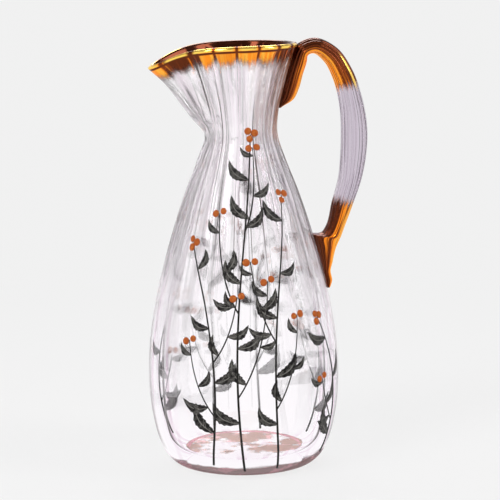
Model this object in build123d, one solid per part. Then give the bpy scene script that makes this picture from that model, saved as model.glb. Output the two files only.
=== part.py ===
"""A tall blown glass jug with a drawn-out spout and an applied ribbed handle.

Sizes are in millimetres. The jug stands on its base at the origin with +Z up. Its spout
points along -X and its handle stands on +X. It is made of two pieces of glass: the blown
body, and the handle that is laid on the body while both are hot.
"""

import os
from math import cos, hypot, pi, radians, sin

from build123d import *

# Heights of the blown body above the table
belly_height = 60.0
neck_height = 212.0
rim_height = 270.0

# Radii of the body's outside
standing_radius = 38.5
belly_radius = 61.0
neck_radius = 23.4
rim_radius = 36.3

# Thickness of the glass, measured level
floor_thickness = 9.5
belly_wall = 8.5
neck_wall = 5.0
lip_thickness = 3.8

# The flat of the floor inside, and the ground hollow under the base
floor_radius = 36.0
hollow_radius = 29.0
hollow_depth = 2.2

# Ribs left by the blowing mould, as the depth of the groove between two of them
rib_count = 16
rib_depth = 1.2
inner_rib_depth = 0.5

# The spout, drawn out of the rim and let down from it; its spread is half its width in degrees
spout_reach = 58.5
spout_drop = 13.5
spout_spread = 20.0

# The handle's run: an upper tail on the neck, an arch over the rim, the grip and the root
upper_tail_height = 229.0
arch_rise = 2.2
arch_overhang = 9.8
finger_gap = 40.9
grip_height = 208.0
root_height = 146.9
lower_tail_height = 112.5

# The leg above the root: its lean in degrees, and the web that rounds it into the body
leg_lean = 19.0
web_reach = 7.7
web_radius = 4.2

# The handle's thickness at its tails, upper leg, arch, grip, lower leg and root, and its width
tail_thickness = 5.4
upper_leg_thickness = 11.6
arch_thickness = 10.0
grip_thickness = 17.4
leg_thickness = 11.7
root_thickness = 18.5
strap_width = 18.0
tail_width = 11.0

# The reeding of the handle, and how far its seats sink into the body's round outline
reed_count = 14
reed_depth = 0.7
seat_depth = 1.2

# Flats that draw the round of one rib of the body, and of one reed of the handle
rib_flat_count = 3
reed_flat_count = 2

# Outlines as shares of the way from one named size to the next: height, then radius
heel_curve = ((0.0, 0.0), (0.025, 0.27), (0.095, 0.49), (0.25, 0.71), (0.52, 0.90), (1.0, 1.0))
shoulder_curve = ((0.0, 0.0), (0.15, 0.035), (0.30, 0.13), (0.46, 0.28), (0.62, 0.465),
                  (0.77, 0.67), (0.90, 0.875), (1.0, 1.0))
inner_heel_curve = ((0.0, 0.0), (0.03, 0.35), (0.12, 0.66), (0.30, 0.85), (0.60, 0.96), (1.0, 1.0))

# The outline from the neck to the lip as shares: height, then radius, then the spout's pull
funnel_curve = ((0.0, 0.0, 0.0), (0.28, 0.07, 0.335), (0.50, 0.29, 0.53), (0.78, 0.63, 0.765),
                (1.0, 1.0, 1.0))


def between(start, end, share):
    """The value that lies the given share of the way from start to end."""
    return start + (end - start) * share


def fluted_ring(point, count, flats, groove):
    """A closed ring of ribs, each drawn with flats; point takes a turn in degrees and an inset."""
    corners = []
    for index in range(count * flats):
        share = 2 * (index % flats) / flats - 1
        corners.append(point((index / flats - 0.5) * 360 / count, groove * share * share))
    return Wire([Line(start, end) for start, end in zip(corners, corners[1:] + corners[:1])])


def spout_pull(angle):
    """How far the glass at this angle from the spout was pulled: 1 at the spout, 0 behind."""
    def fall(turn):
        return 1 / (1 + (turn / spout_spread) ** 2)

    turn = abs((angle + 180) % 360 - 180)
    return (fall(turn) - fall(180)) / (1 - fall(180))


def ring(radius, height, groove=0.0, reach=0.0, drop=0.0):
    """One closed ring round the jug. Its angles are counted from the spout."""
    def point(angle, inset):
        pull = spout_pull(angle)
        outward = radius + reach * pull - inset
        turn = radians(180 + angle)
        return (outward * cos(turn), outward * sin(turn), height - drop * pull)

    return fluted_ring(point, rib_count, rib_flat_count, groove)


def heel_rings():
    """Rings of the smooth outside, from the standing base up to the belly."""
    return [ring(between(standing_radius, belly_radius, out), belly_height * up)
            for up, out in heel_curve]


def inner_heel_rings():
    """Rings of the smooth inside, from the flat floor up to the belly."""
    return [ring(between(floor_radius, belly_radius - belly_wall, out),
                 between(floor_thickness, belly_height, up))
            for up, out in inner_heel_curve]


def shoulder_rings(radii, groove):
    """Rings between the belly and the neck, where the ribs grow out of smooth glass."""
    rings = []
    for up, inward in shoulder_curve[1:-1]:
        height = between(belly_height, neck_height, up)
        rings.append(ring(between(*radii, inward), height, groove * min(1.0, 2 * up)))
    return rings


def funnel_rings(radii, groove):
    """Rings from the neck up to the lip, where the spout opens out."""
    top = rim_height - lip_thickness / 2
    rings = []
    for up, out, pull in funnel_curve:
        rings.append(ring(between(*radii, out), between(neck_height, top, up), groove,
                          (spout_reach - rim_radius) * pull, spout_drop * pull))
    return rings


def lip_rings():
    """Rings over the rounded lip, half way round a circle from the outside to the inside."""
    rings = []
    steps = 4
    half = lip_thickness / 2
    for step in range(steps + 1):
        share = step / steps
        turn = pi * share
        rings.append(ring(rim_radius - half + half * cos(turn), rim_height - half + half * sin(turn),
                          between(rib_depth, inner_rib_depth, share),
                          spout_reach - rim_radius, spout_drop))
    return rings


def make_body():
    """The blown body: one skin from the base up the outside, over the lip and down to the floor."""
    outside = (heel_rings() + shoulder_rings((belly_radius, neck_radius), rib_depth)
               + funnel_rings((neck_radius, rim_radius), rib_depth))
    inner_belly = belly_radius - belly_wall
    inner_neck = neck_radius - neck_wall
    inside = (inner_heel_rings() + shoulder_rings((inner_belly, inner_neck), inner_rib_depth)
              + funnel_rings((inner_neck, rim_radius - lip_thickness), inner_rib_depth))
    skin = [Face(outside[0]), Face(inside[0])]
    skin += Shell.make_loft(outside).faces()
    skin += Shell.make_loft(lip_rings(), ruled=True).faces()
    skin += Shell.make_loft(inside, ruled=True).faces()
    glass = Solid(Shell(skin))

    # The hollow's cone crosses the base plane half way up, where it has the hollow's radius
    return glass - Cone(hollow_radius * 1.4, hollow_radius * 0.6, 2 * hollow_depth)


def seat_x(height):
    """How far from the jug's axis a strap starts that is seated on the body at this height."""
    top = rim_height - lip_thickness / 2
    outline = [(between(belly_height, neck_height, up), between(belly_radius, neck_radius, inward))
               for up, inward in shoulder_curve]
    outline += [(between(neck_height, top, up), between(neck_radius, rim_radius, out))
                for up, out, _ in funnel_curve[1:]]
    for (low, low_radius), (high, high_radius) in zip(outline, outline[1:]):
        if height <= high:
            break
    return between(low_radius, high_radius, (height - low) / (high - low)) - seat_depth


def upper_tail():
    """Stations up the outside of the mouth: the strap's finger side, its far side and its width."""
    stations = []
    for up, fill in ((0.0, 0.0), (0.12, 0.78), (0.28, 0.97), (0.50, 1.0), (0.70, 1.0)):
        height = between(upper_tail_height, rim_height, up)
        thickness = between(tail_thickness / 2, upper_leg_thickness, fill)
        stations.append(((seat_x(height) + thickness, height), (seat_x(height), height),
                         between(tail_width, strap_width, fill)))
    return stations


def arch_station(foot, turn, thickness):
    """One station of the arch, which comes down to its foot in a quarter of an ellipse."""
    top_x = rim_radius + arch_overhang
    top_z = rim_height + arch_rise - arch_thickness / 2
    wide, high = foot[0] - top_x, top_z - foot[1]
    side, over = sin(radians(turn)), cos(radians(turn))
    x, z = top_x + wide * side, foot[1] + high * over
    out_x, out_z = side / wide, over / high
    half = thickness / 2 / hypot(out_x, out_z)
    return ((x - out_x * half, z - out_z * half), (x + out_x * half, z + out_z * half), strap_width)


def arch(upper_foot, grip):
    """Stations over the arch, from the upper tail's end to the middle of the grip."""
    stations = [arch_station(upper_foot, 45, arch_thickness)]
    for turn in (0, 25, 45, 65, 90):
        thickness = between(arch_thickness, grip_thickness, turn / 90)
        stations.append(arch_station(grip, turn, thickness))
    return stations


def lower_leg(grip_near, grip_far):
    """Stations down the leg, and round the web that joins it to the body."""
    level, slope = cos(radians(leg_lean)), sin(radians(leg_lean))
    near = (seat_x(root_height) + seat_depth + web_reach, root_height + web_radius * (1 - slope))
    far = (near[0] + leg_thickness * level, near[1] - leg_thickness * slope)
    stations = []
    for down, near_in, far_in in ((0.20, 0.04, 0.065), (0.42, 0.15, 0.23), (0.70, 0.55, 0.585),
                                  (1.0, 1.0, 1.0)):
        stations.append(((between(grip_near[0], near[0], near_in),
                          between(grip_near[1], near[1], down)),
                         (between(grip_far[0], far[0], far_in),
                          between(grip_far[1], far[1], down)), strap_width))

    # The far side goes straight on by even steps while the finger side turns in to the body
    step = web_radius / 4
    web_x = near[0] - web_radius * level
    web = [(web_x + web_radius * cos(turn), root_height + web_radius * (1 - sin(turn)))
           for turn in (radians(55), radians(90))]
    for count, turned in enumerate(web + [(seat_x(root_height), root_height)], 1):
        stations.append((turned, (far[0] - count * step * slope, far[1] - count * step * level),
                         strap_width))
    return stations


def lower_tail():
    """Stations down the body, where the strap is drawn thin and ends in a small knob."""
    stations = []
    for down, fill in ((0.26, 0.65), (0.40, 0.44), (0.55, 0.25), (0.69, 0.06), (0.90, 0.0),
                       (1.0, -0.15)):
        height = between(root_height, lower_tail_height, down)
        thickness = between(tail_thickness, root_thickness, fill)
        stations.append(((seat_x(height), height), (seat_x(height) + thickness, height),
                         between(strap_width, tail_width, down)))
    return stations


def strap_stations():
    """The handle's run from its upper tail to its lower one."""
    stations = upper_tail()
    near, far, _ = stations[-1]
    grip = (neck_radius + finger_gap + grip_thickness / 2, grip_height)
    stations += arch(((near[0] + far[0]) / 2, near[1]), grip)
    stations += lower_leg(*stations[-1][:2])
    return stations + lower_tail()


def halved(edge):
    """The points of one side of the strap, and the middle of each step on a smooth line."""
    line = Spline([(x, 0, z) for x, z in edge])
    marks = [line.param_at_point((x, 0, z)) for x, z in edge]
    return [line @ ((marks[index // 2] + marks[(index + 1) // 2]) / 2)
            for index in range(2 * len(edge) - 1)]


def strap_section(near, far, width):
    """A reeded oval across the handle, from its finger side to its far side."""
    middle = (near + far) / 2
    thickness = (far - near).length
    across = (far - near) / thickness

    def point(angle, inset):
        out = (thickness / 2 - inset) * cos(radians(angle))
        side = (width / 2 - inset) * sin(radians(angle))
        return (middle.X + across.X * out, side, middle.Z + across.Z * out)

    return fluted_ring(point, reed_count, reed_flat_count, min(reed_depth, thickness / 8))


def make_handle(body):
    """The applied handle: a reeded strap whose tails and root are seated on the body."""
    near, far, width = zip(*strap_stations())
    sections = []
    for index, (first, second) in enumerate(zip(halved(near), halved(far))):
        middle_width = (width[index // 2] + width[(index + 1) // 2]) / 2
        sections.append(strap_section(first, second, middle_width))
    return Solid.make_loft(sections, ruled=True) - body


os.makedirs("parts", exist_ok=True)
jug_body = make_body()
jug_handle = make_handle(jug_body)
export_step(jug_body, "parts/body.step")
export_step(jug_handle, "parts/handle.step")
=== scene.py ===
"""Looks for a tall blown glass jug with a drawn-out spout and an applied, reeded handle.

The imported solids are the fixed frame. Each of the two pieces of glass gets a finer skin with
round ribs or reeds, and fired gold at the lip or at its ends. A raised enamel design of plain
berry sprigs stands on the body. Lengths are in metres. The spout points along -X, and the jug
is seen from the side of -Y.
"""

import logging
import math
import random
from dataclasses import dataclass
from enum import Enum
from functools import cached_property, reduce
from typing import Sequence

import bpy
import numpy as np
from mathutils import Euler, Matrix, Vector


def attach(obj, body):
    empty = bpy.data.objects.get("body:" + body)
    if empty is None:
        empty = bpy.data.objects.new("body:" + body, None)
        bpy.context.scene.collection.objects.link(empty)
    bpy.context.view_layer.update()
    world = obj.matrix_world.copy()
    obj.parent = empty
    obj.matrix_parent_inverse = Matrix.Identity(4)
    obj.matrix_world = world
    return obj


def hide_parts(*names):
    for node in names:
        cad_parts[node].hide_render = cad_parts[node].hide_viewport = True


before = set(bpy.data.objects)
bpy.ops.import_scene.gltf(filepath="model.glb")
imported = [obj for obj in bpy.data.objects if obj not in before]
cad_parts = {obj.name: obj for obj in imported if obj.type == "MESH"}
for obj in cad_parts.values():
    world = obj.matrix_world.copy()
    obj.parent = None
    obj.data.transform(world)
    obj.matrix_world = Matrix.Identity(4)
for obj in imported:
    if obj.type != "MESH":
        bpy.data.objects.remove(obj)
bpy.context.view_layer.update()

LOG = logging.getLogger("jug")
MM = 0.001
Colour = tuple[float, float, float]
Limits = tuple[float, float]


class Socket:
    """A value that changes over a surface, with operators that add Math nodes to its graph."""

    def __init__(self, graph: "Graph", socket: bpy.types.NodeSocket) -> None:
        """Wrap an output socket of a node in the graph.

        Args:
            graph: The node graph that the socket belongs to.
            socket: The output socket that carries the value.
        """
        self.graph = graph
        self.socket = socket

    def math(self, operation: str, *others: "Number") -> "Socket":
        """Add one Math node that starts from this value."""
        return self.graph.math(operation, self, *others)

    def __add__(self, other: "Number") -> "Socket":
        """This value plus the other."""
        return self.math("ADD", other)

    def __radd__(self, other: "Number") -> "Socket":
        """The other value plus this one."""
        return self.graph.math("ADD", other, self)

    def __sub__(self, other: "Number") -> "Socket":
        """This value less the other."""
        return self.math("SUBTRACT", other)

    def __rsub__(self, other: "Number") -> "Socket":
        """The other value less this one."""
        return self.graph.math("SUBTRACT", other, self)

    def __mul__(self, other: "Number") -> "Socket":
        """This value times the other."""
        return self.math("MULTIPLY", other)

    def __rmul__(self, other: "Number") -> "Socket":
        """The other value times this one."""
        return self.graph.math("MULTIPLY", other, self)

    def __abs__(self) -> "Socket":
        """This value without its sign."""
        return self.math("ABSOLUTE")

    def fade(self, low: float, high: float) -> "Socket":
        """A soft step: 0 where this value is at low, 1 where it is at high.

        Args:
            low: The value that gives 0.
            high: The value that gives 1. It may be smaller than low.

        Returns:
            The step, between 0 and 1.
        """
        node = self.graph.node("ShaderNodeMapRange", {"interpolation_type": "SMOOTHSTEP"},
                               {"Value": self, "From Min": low, "From Max": high})
        return Socket(self.graph, node.outputs["Result"])

    def band(self, starts: Limits, ends: Limits) -> "Socket":
        """A soft band that fades in over the first limits and out over the second."""
        return self.fade(*starts) * self.fade(*ends)


Number = Socket | float


class Graph:
    """The nodes of one material or world."""

    def __init__(self, tree: bpy.types.NodeTree) -> None:
        """Take over a node tree and empty it.

        Args:
            tree: The tree that the nodes go into.
        """
        self.tree = tree
        tree.nodes.clear()

    def node(self, kind: str, settings: dict[str, object] | None = None,
             inputs: dict[str | int, object] | None = None) -> bpy.types.Node:
        """Add one node.

        Args:
            kind: The node's type.
            settings: The node's own settings, which are set first.
            inputs: Values or links of its input sockets, by name or number.

        Returns:
            The node.
        """
        made = self.tree.nodes.new(kind)
        for name, value in (settings or {}).items():
            setattr(made, name, value)
        for key, value in (inputs or {}).items():
            self.feed(made.inputs[key], value)
        return made

    def feed(self, target: bpy.types.NodeSocket, value: object) -> None:
        """Link or set one input socket.

        Args:
            target: The input socket.
            value: A wrapped socket, an output socket, a colour or a number.
        """
        if isinstance(value, Socket):
            self.tree.links.new(value.socket, target)
        elif isinstance(value, bpy.types.NodeSocket):
            self.tree.links.new(value, target)
        elif isinstance(value, tuple) and target.type == "RGBA":
            target.default_value = (*value, 1.0)
        else:
            target.default_value = value

    def math(self, operation: str, *operands: Number) -> Socket:
        """Add one Math node.

        Args:
            operation: The node's operation.
            operands: Its operands in order, as numbers or sockets.

        Returns:
            The node's result.
        """
        made = self.node("ShaderNodeMath", {"operation": operation}, dict(enumerate(operands)))
        return Socket(self, made.outputs[0])

    def largest(self, *values: Socket) -> Socket:
        """The largest of several values at each point."""
        return reduce(lambda first, second: first.math("MAXIMUM", second), values)

    def attribute(self, name: str) -> Socket:
        """The value that the mesh keeps at each point under this name, or 0 without one."""
        made = self.node("ShaderNodeAttribute", {"attribute_name": name})
        return Socket(self, made.outputs["Fac"])

    def place(self) -> bpy.types.NodeSocket:
        """The place on the object, in metres."""
        return self.node("ShaderNodeTexCoord").outputs["Object"]

    def facing(self) -> Socket:
        """How much a surface is seen along itself: 0 from straight ahead, 1 at its outline."""
        made = self.node("ShaderNodeLayerWeight", None, {"Blend": 0.5})
        return Socket(self, made.outputs["Facing"])

    def ray(self, kind: str) -> Socket:
        """1 for rays of one kind, such as Camera, and 0 for the others."""
        return Socket(self, self.node("ShaderNodeLightPath").outputs[f"Is {kind} Ray"])

    def noise(self, scale: float, detail: float = 2.0, roughness: float = 0.5,
              place: bpy.types.NodeSocket | None = None) -> Socket:
        """Cloudy noise between 0 and 1.

        Args:
            scale: How many clouds there are to a metre, or to a step of 1 of the place.
            detail: How many finer layers are added.
            roughness: How strong the finer layers are.
            place: Where the noise is looked up, if not at the place on the object.

        Returns:
            The noise.
        """
        if place is None:
            place = self.place()
        made = self.node("ShaderNodeTexNoise", None, {
            "Vector": place, "Scale": scale, "Detail": detail, "Roughness": roughness})
        return Socket(self, made.outputs["Fac"])

    def blend(self, factor: Number, first: object, second: object) -> bpy.types.NodeSocket:
        """Mix two colours.

        Args:
            factor: 0 for the first colour, 1 for the second.
            first: A colour or a colour socket.
            second: A colour or a colour socket.

        Returns:
            The mixed colour.
        """
        made = self.node("ShaderNodeMix", {"data_type": "RGBA"},
                         {0: factor, 6: first, 7: second})
        return made.outputs[2]

    def mix(self, factor: Number, first: bpy.types.Node, second: bpy.types.Node) -> bpy.types.Node:
        """Mix two shaders.

        Args:
            factor: 0 for the first shader, 1 for the second.
            first: A shader node.
            second: A shader node.

        Returns:
            The mixed shader's node.
        """
        return self.node("ShaderNodeMixShader", None,
                         {0: factor, 1: first.outputs[0], 2: second.outputs[0]})

    def bump(self, height: Socket, distance: float) -> bpy.types.NodeSocket:
        """Turn a height into a normal.

        Args:
            height: The height, from 0 to 1.
            distance: How many metres a height of 1 stands for.

        Returns:
            The normal.
        """
        made = self.node("ShaderNodeBump", None,
                         {"Height": height, "Distance": distance, "Strength": 1.0})
        return made.outputs["Normal"]

    def principled(self, inputs: dict[str | int, object]) -> bpy.types.Node:
        """Add a Principled shader with these values or links of its inputs."""
        return self.node("ShaderNodeBsdfPrincipled", None, inputs)

    def lead_out(self, surface: bpy.types.Node, volume: bpy.types.Node | None = None) -> None:
        """Lead the shaders to the material's output.

        Args:
            surface: The surface's shader.
            volume: The shader of what is inside, if it has one.
        """
        inputs = {"Surface": surface.outputs[0]}
        if volume is not None:
            inputs["Volume"] = volume.outputs[0]
        self.node("ShaderNodeOutputMaterial", None, inputs)


def new_material(name: str) -> tuple[bpy.types.Material, Graph]:
    """Make an empty material.

    Args:
        name: The material's name.

    Returns:
        The material, and the graph that its nodes go into.
    """
    material = bpy.data.materials.new(name)
    material.use_nodes = True
    return material, Graph(material.node_tree)


def add_object(name: str, data: bpy.types.ID) -> bpy.types.Object:
    """Add an object to the scene.

    Args:
        name: The object's name.
        data: Its mesh, lamp or camera.

    Returns:
        The object.
    """
    made = bpy.data.objects.new(name, data)
    bpy.context.scene.collection.objects.link(made)
    return made


def grey(level: float) -> Colour:
    """The grey of this level."""
    return (level, level, level)


@dataclass(frozen=True)
class Streaks:
    """Noise that is drawn out along the ribs or the reeds.

    Across counts the streaks to a rib or a reed, and along the clouds to a metre of its length.
    With limits the noise becomes a mask: 0 up to the first one, 1 from the second.
    """

    across: float
    along: float
    detail: float = 2.0
    limits: Limits | None = None
    roughness: float = 0.55

    def on(self, graph: Graph) -> Socket:
        """Add the streaks to a finish.

        Args:
            graph: The graph that the nodes go into.

        Returns:
            The streaks, between 0 and 1.
        """
        place = graph.node("ShaderNodeCombineXYZ", None, {
            "X": graph.attribute("grain_across") * self.across,
            "Y": graph.attribute("grain_along") * self.along})
        noise = graph.noise(1.0, self.detail, self.roughness, place.outputs[0])
        return noise.fade(*self.limits) if self.limits else noise


@dataclass(frozen=True)
class ClearGlass:
    """Clear blown glass with a faint mauve tint, part of which hardly bends the light."""

    striae: float
    straight_share: float
    straight_in_heel: float = 0.6
    bending: float = 1.45
    straight_bending: float = 1.003
    clear: Colour = (1.0, 0.99, 0.998)
    mauve: Colour = (0.80, 0.64, 0.75)
    mauve_streaks: Streaks = Streaks(2.4, 4.0, 1.0, (0.50, 0.60))
    mauve_on_ribs: float = 0.35
    mauve_at_edge: float = 0.9
    edge_facing: Limits = (0.30, 0.80)
    slow_waves: Streaks = Streaks(1.3, 5.0, 1.0)
    fine_waves: Streaks = Streaks(5.0, 6.0, 1.0)
    slow_share: float = 0.75

    def shader(self, graph: Graph) -> bpy.types.Node:
        """Glass that bends light, mixed with glass that hardly does, most of it in the heel.

        Args:
            graph: The graph that the nodes go into.

        Returns:
            The shader.
        """
        both = {"Base Color": self.colour(graph), "Roughness": 0.0, "Transmission Weight": 1.0}
        bent = graph.principled({
            **both, "IOR": self.bending,
            "Normal": graph.bump(self.waviness(graph), self.striae)})
        straight = graph.principled({**both, "IOR": self.straight_bending})
        share = graph.attribute("heel") * self.straight_in_heel + self.straight_share
        return graph.mix(share, bent, straight)

    def waviness(self, graph: Graph) -> Socket:
        """The uneven surface of hand-blown glass: slow waves and long fine striae.

        Args:
            graph: The graph that the nodes go into.

        Returns:
            The height, from 0 to 1.
        """
        slow, fine = self.slow_waves.on(graph), self.fine_waves.on(graph)
        return slow * self.slow_share + fine * (1 - self.slow_share)

    def colour(self, graph: Graph) -> bpy.types.NodeSocket:
        """Clear glass with a mauve tint in streaks, on the ribs and where it is seen edge on.

        Args:
            graph: The graph that the nodes go into.

        Returns:
            The colour.
        """
        streaks = self.mauve_streaks.on(graph)
        ribbed = streaks * graph.attribute("ribbed") * self.mauve_on_ribs
        edge = graph.facing().fade(*self.edge_facing) * self.mauve_at_edge
        return graph.blend(graph.largest(ribbed, edge * streaks), self.clear, self.mauve)


@dataclass(frozen=True)
class DarkLines:
    """Painted shade as thin dark lines in the glass, and a painted reflection of the handle's gold
    as brown streaks.
    """

    # Painted shade in dark lines, and a painted reflection of the handle's gold in brown
    dark: Colour = (0.035, 0.024, 0.02)
    mirrored_gold: Colour = (0.30, 0.10, 0.03)
    roughness: float = 0.5
    contour_facing: Limits = (0.74, 0.87)
    fine: Streaks = Streaks(8.0, 3.5, 2.0, (0.655, 0.68))
    groove_bottom: Limits = (0.86, 0.96)
    # Painted shade at the bottom of the grooves, broken up by streaks
    broken_groove_shade: Streaks = Streaks(1.1, 9.0, 2.0, (0.52, 0.57))
    at_edge: Streaks = Streaks(3.5, 6.0, 2.0, (0.51, 0.55))
    edge_facing: Limits = (0.48, 0.72)
    rib_strength: float = 0.85
    mirrored: Streaks = Streaks(4.5, 5.0, 2.0, (0.47, 0.53))
    mirrored_strength: float = 0.9
    brown_from: Limits = (0.05, 0.4)

    def shader(self, graph: Graph) -> bpy.types.Node:
        """A matt film, dark for painted shade, and brown beside the handle for its painted
        reflection.

        Args:
            graph: The graph that the nodes go into.

        Returns:
            The shader.
        """
        brown = graph.attribute("mirrored").fade(*self.brown_from)
        colour = graph.blend(brown, self.dark, self.mirrored_gold)
        return graph.principled({"Base Color": colour, "Roughness": self.roughness})

    def mask(self, graph: Graph) -> Socket:
        """Painted dark lines along the inside's outline and the ribs further up, and painted
        reflection by the handle.

        Args:
            graph: The graph that the nodes go into.

        Returns:
            How dark the line is, from 0 to 1.
        """
        contour = graph.facing().fade(*self.contour_facing) * graph.attribute("contour")
        groove = graph.attribute("groove").fade(*self.groove_bottom) * self.broken_groove_shade.on(graph)
        edge = self.at_edge.on(graph) * graph.facing().fade(*self.edge_facing)
        lines = graph.largest(self.fine.on(graph), groove, edge)
        ribbed = lines * graph.attribute("ribbed") * self.rib_strength
        mirrored = self.mirrored.on(graph) * graph.attribute("mirrored")
        return graph.largest(contour, ribbed, mirrored * self.mirrored_strength)


@dataclass(frozen=True)
class WashAndFootRefraction:
    """A thin fired wash, pink with beige smudges on the floor, and its painted refraction, pink
    and brown, on the foot.
    """

    floor_ring: Colour = (0.55, 0.22, 0.26)
    floor_pink: Colour = (0.74, 0.37, 0.36)
    floor_beige: Colour = (0.34, 0.16, 0.10)
    # Painted refraction of the floor's wash on the foot: its colours
    foot_pink: Colour = (0.32, 0.13, 0.15)
    foot_brown: Colour = (0.16, 0.07, 0.07)
    roughness: float = 0.5
    smudges_per_metre: float = 75.0
    smudge_limits: Limits = (0.42, 0.50)
    on_foot: Limits = (0.0, 0.05)
    on_ring: Limits = (0.65, 0.9)
    patches_per_metre: float = 60.0
    floor_weight: float = 1.6
    floor_patches: float = 2.4
    floor_bare: float = 1.9
    floor_limits: Limits = (0.0, 0.35)
    floor_strength: float = 0.9
    band_patches: float = 0.8
    band_bare: float = 0.55
    band_limits: Limits = (0.0, 0.20)
    band_seen_from: Limits = (0.25, 0.40)
    band_seen_to: Limits = (0.99, 0.90)
    rim_limits: Limits = (1.22, 1.29)
    rim_strength: float = 0.5
    strength: float = 0.9

    def shader(self, graph: Graph) -> bpy.types.Node:
        """A matt film, smudged on the floor and on the foot's painted refraction, and purer pink
        on the floor's ring.

        Args:
            graph: The graph that the nodes go into.

        Returns:
            The shader.
        """
        smudge = graph.noise(self.smudges_per_metre, 4.0, 0.60).fade(*self.smudge_limits)
        floor = graph.blend(smudge, self.floor_pink, self.floor_beige)
        foot = graph.blend(smudge, self.foot_pink, self.foot_brown)
        smudged = graph.blend(graph.attribute("base").fade(*self.on_foot), floor, foot)
        ring = graph.attribute("foot").fade(*self.on_ring)
        colour = graph.blend(ring, smudged, self.floor_ring)
        return graph.principled({"Base Color": colour, "Roughness": self.roughness})

    def mask(self, graph: Graph) -> Socket:
        """A ring and patches on the floor, and, as its painted refraction, a low band with a thin
        rim round the foot.

        Args:
            graph: The graph that the nodes go into.

        Returns:
            How thick the wash is, from 0 to 1.
        """
        patchy = graph.noise(self.patches_per_metre, 3.0)
        foot, base = graph.attribute("foot"), graph.attribute("base")
        laid = foot * self.floor_weight + patchy * self.floor_patches - self.floor_bare
        ring = foot.fade(*self.on_ring) * (1 - self.floor_strength) + self.floor_strength
        # Painted refraction of the floor's wash: a low band, shown only where the glass is seen at
        # an angle, and a thin rim
        band = (base + patchy * self.band_patches - self.band_bare).fade(*self.band_limits)
        seen = graph.facing().band(self.band_seen_from, self.band_seen_to)
        rim = base.fade(*self.rim_limits) * self.rim_strength
        return graph.largest(laid.fade(*self.floor_limits) * ring, band * seen,
                             rim) * self.strength


class Gilding(Enum):
    """Where the gold lies, with how many fine streaks it has to a rib or a reed."""

    LIP = 12.0
    HANDLE = 3.0


@dataclass(frozen=True)
class FiredGold:
    """Brushed orange gold, brown in painted shade, with a painted yellow glint over a painted dark
    line.
    """

    gilding: Gilding
    orange: Colour = (1.0, 0.29, 0.014)
    pale: Colour = (1.0, 0.45, 0.05)
    # Painted highlight: the colour of the glint
    yellow: Colour = (1.0, 0.66, 0.12)
    brown: Colour = (0.22, 0.042, 0.006)
    dark: Colour = (0.05, 0.009, 0.002)
    metallic: float = 0.85
    least_roughness: float = 0.08
    brushed_roughness: float = 0.12
    brush_depth: float = 0.02 * MM
    pale_limits: Limits = (0.42, 0.62)
    clouds: Streaks = Streaks(0.55, 7.0, 1.0, (0.50, 0.62))
    cloud_darkness: float = 0.12
    # Painted shade: browner gold where the mesh's shade value is high, broken up by streaks
    shade_patchiness: float = 1.6
    shade_limits: Limits = (0.30, 0.75)
    shade_darkness: float = 0.8
    # Painted shade: darker gold in the grooves between the lobes and the reeds
    groove_limits: Limits = (0.78, 1.0)
    groove_shade_darkness: float = 0.7
    # Painted shade: a dark line just below the glint on the lip, and beside it on the handle's
    # arch
    line_from: Limits = (3.6 * MM, 4.1 * MM)
    line_to: Limits = (5.8 * MM, 4.6 * MM)
    shade_line_darkness: float = 0.8
    # Painted shade: darker gold inside the mouth
    inside_limits: Limits = (0.0, -1.0 * MM)
    inside_shade_darkness: float = 0.93
    # Painted highlight: where the yellow glint lies below the crest, broken at the grooves
    glint_from: Limits = (-0.6 * MM, 0.1 * MM)
    glint_to: Limits = (3.9 * MM, 3.2 * MM)
    glint_off_groove: Limits = (0.90, 0.55)
    lobe_reach: float = 2.5 * MM
    brush_reach: float = 15.0 * MM
    powder_reach: float = 6.0 * MM
    powder_per_metre: float = 1500.0
    edge_limits: Limits = (-4.0 * MM, 3.0 * MM)

    def shader(self, graph: Graph) -> bpy.types.Node:
        """Metal with fine brush marks.

        Args:
            graph: The graph that the nodes go into.

        Returns:
            The shader.
        """
        brushed = Streaks(self.gilding.value, 25.0).on(graph)
        return graph.principled({
            "Base Color": self.colour(graph), "Metallic": self.metallic,
            "Roughness": brushed * self.brushed_roughness + self.least_roughness,
            "Normal": graph.bump(brushed, self.brush_depth)})

    def colour(self, graph: Graph) -> bpy.types.NodeSocket:
        """Orange gold, browner in painted shade (grooves, inside, shaded sides) and clouds, with a
        painted glint on the lip.

        Args:
            graph: The graph that the nodes go into.

        Returns:
            The colour.
        """
        streak = Streaks(self.gilding.value * 0.4, 14.0).on(graph)
        groove, below = graph.attribute("groove"), graph.attribute("crest")
        patchy = (streak - 0.5) * self.shade_patchiness
        darkness = graph.largest(
            groove.fade(*self.groove_limits) * self.groove_shade_darkness,
            below.band(self.line_from, self.line_to) * self.shade_line_darkness,
            self.clouds.on(graph) * self.cloud_darkness,
            (graph.attribute("shade") + patchy).fade(*self.shade_limits) * self.shade_darkness,
            below.fade(*self.inside_limits) * self.inside_shade_darkness)
        bright = graph.blend(streak.fade(*self.pale_limits), self.orange, self.pale)
        browned = graph.blend(darkness.fade(0.0, 0.5), bright, self.brown)
        darkened = graph.blend(darkness.fade(0.5, 1.0), browned, self.dark)
        # Painted highlight: the yellow glint over each lobe of the lip and along one reed of the
        # arch
        glint = below.band(self.glint_from, self.glint_to) * groove.fade(*self.glint_off_groove)
        return graph.blend(glint, darkened, self.yellow)

    def mask(self, graph: Graph) -> Socket:
        """Where the gold lies, with a brushed and powdery edge that follows the ribs.

        Args:
            graph: The graph that the nodes go into.

        Returns:
            1 on the gold and 0 on bare glass.
        """
        brushed = Streaks(self.gilding.value * 0.35, 9.0, 3.0).on(graph) - 0.5
        powder = graph.noise(self.powder_per_metre) - 0.5
        lobed = (0.5 - graph.attribute("groove")) * self.lobe_reach
        reach = (graph.attribute("gilt") + lobed + brushed * self.brush_reach
                 + powder * self.powder_reach)
        return reach.fade(*self.edge_limits)


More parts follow.
